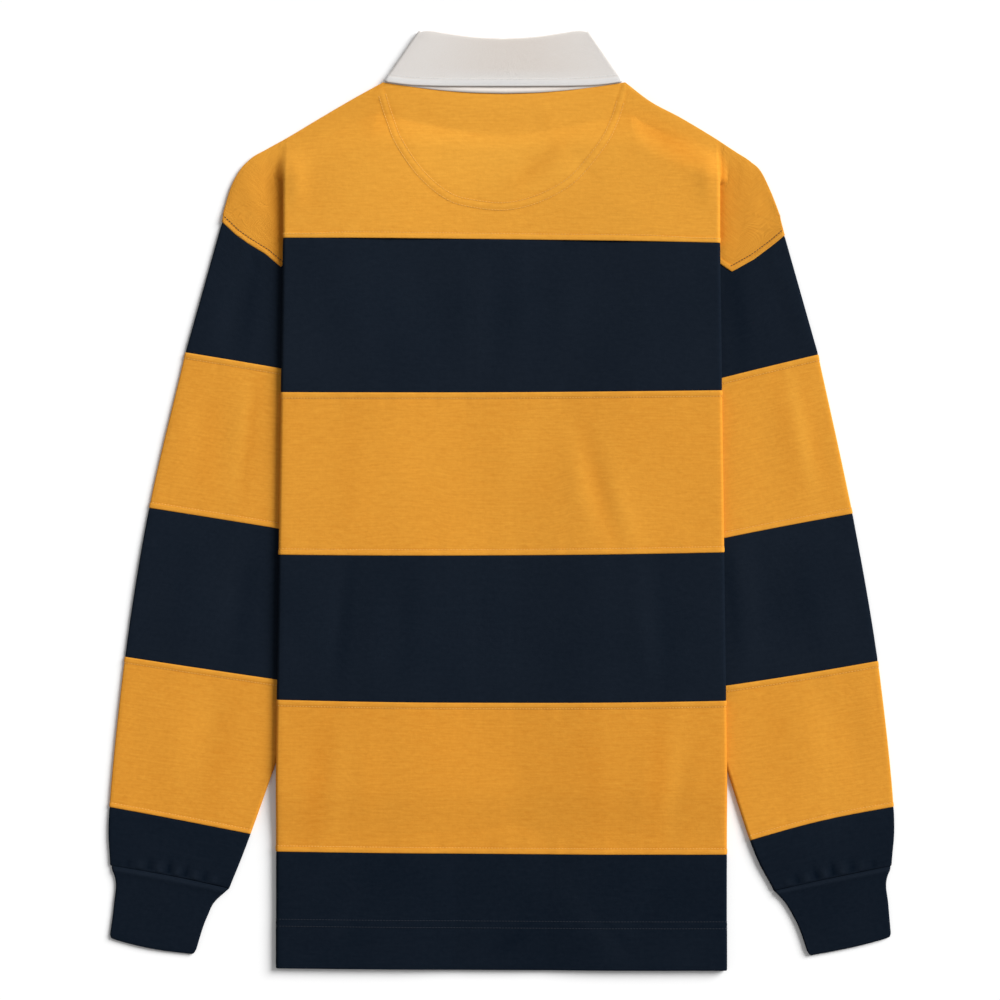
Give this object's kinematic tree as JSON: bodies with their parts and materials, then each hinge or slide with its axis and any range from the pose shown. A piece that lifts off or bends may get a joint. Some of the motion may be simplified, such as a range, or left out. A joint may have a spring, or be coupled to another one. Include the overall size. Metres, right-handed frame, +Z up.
{
  "type": "long-sleeved polo shirt",
  "caption": "Long-sleeved polo shirt with broad yellow and navy bands and an off-white collar, laid flat on its front with its sides and sleeves turned down.",
  "frame": {"origin": "middle of the laid shirt's outline, on the surface it lies on", "axes": "+Y from the hem to the collar, +X towards the right of the picture (the wearer's right sleeve, back up), +Z up off the surface"},
  "size_m": [0.6454, 0.7704, 0.0087],
  "materials": {
    "yellow_jersey": "matte",
    "navy_jersey": "matte",
    "white_twill": "matte",
    "pearl_button": "satin"
  },
  "bodies": {
    "root": {"back_band_1": "yellow_jersey", "back_band_2": "navy_jersey", "back_band_3": "yellow_jersey", "back_band_4": "navy_jersey", "back_band_5": "yellow_jersey", "back_band_6": "navy_jersey", "front_band_1_left": "yellow_jersey", "front_band_1_right": "yellow_jersey", "front_band_2": "navy_jersey", "front_band_3": "yellow_jersey", "front_band_4": "navy_jersey", "front_band_5": "yellow_jersey", "front_band_6": "navy_jersey", "sleeve_left_1": "navy_jersey", "sleeve_left_2": "yellow_jersey", "sleeve_left_3": "navy_jersey", "sleeve_left_4": "yellow_jersey", "sleeve_left_5": "navy_jersey", "cuff_left": "navy_jersey", "sleeve_right_1": "navy_jersey", "sleeve_right_2": "yellow_jersey", "sleeve_right_3": "navy_jersey", "sleeve_right_4": "yellow_jersey", "sleeve_right_5": "navy_jersey", "cuff_right": "navy_jersey", "collar_stand": "white_twill", "collar_leaf": "white_twill", "placket_outer": "white_twill", "placket_inner": "white_twill", "button_1": "pearl_button", "button_2": "pearl_button", "button_3": "pearl_button"}
  },
  "joints": []
}
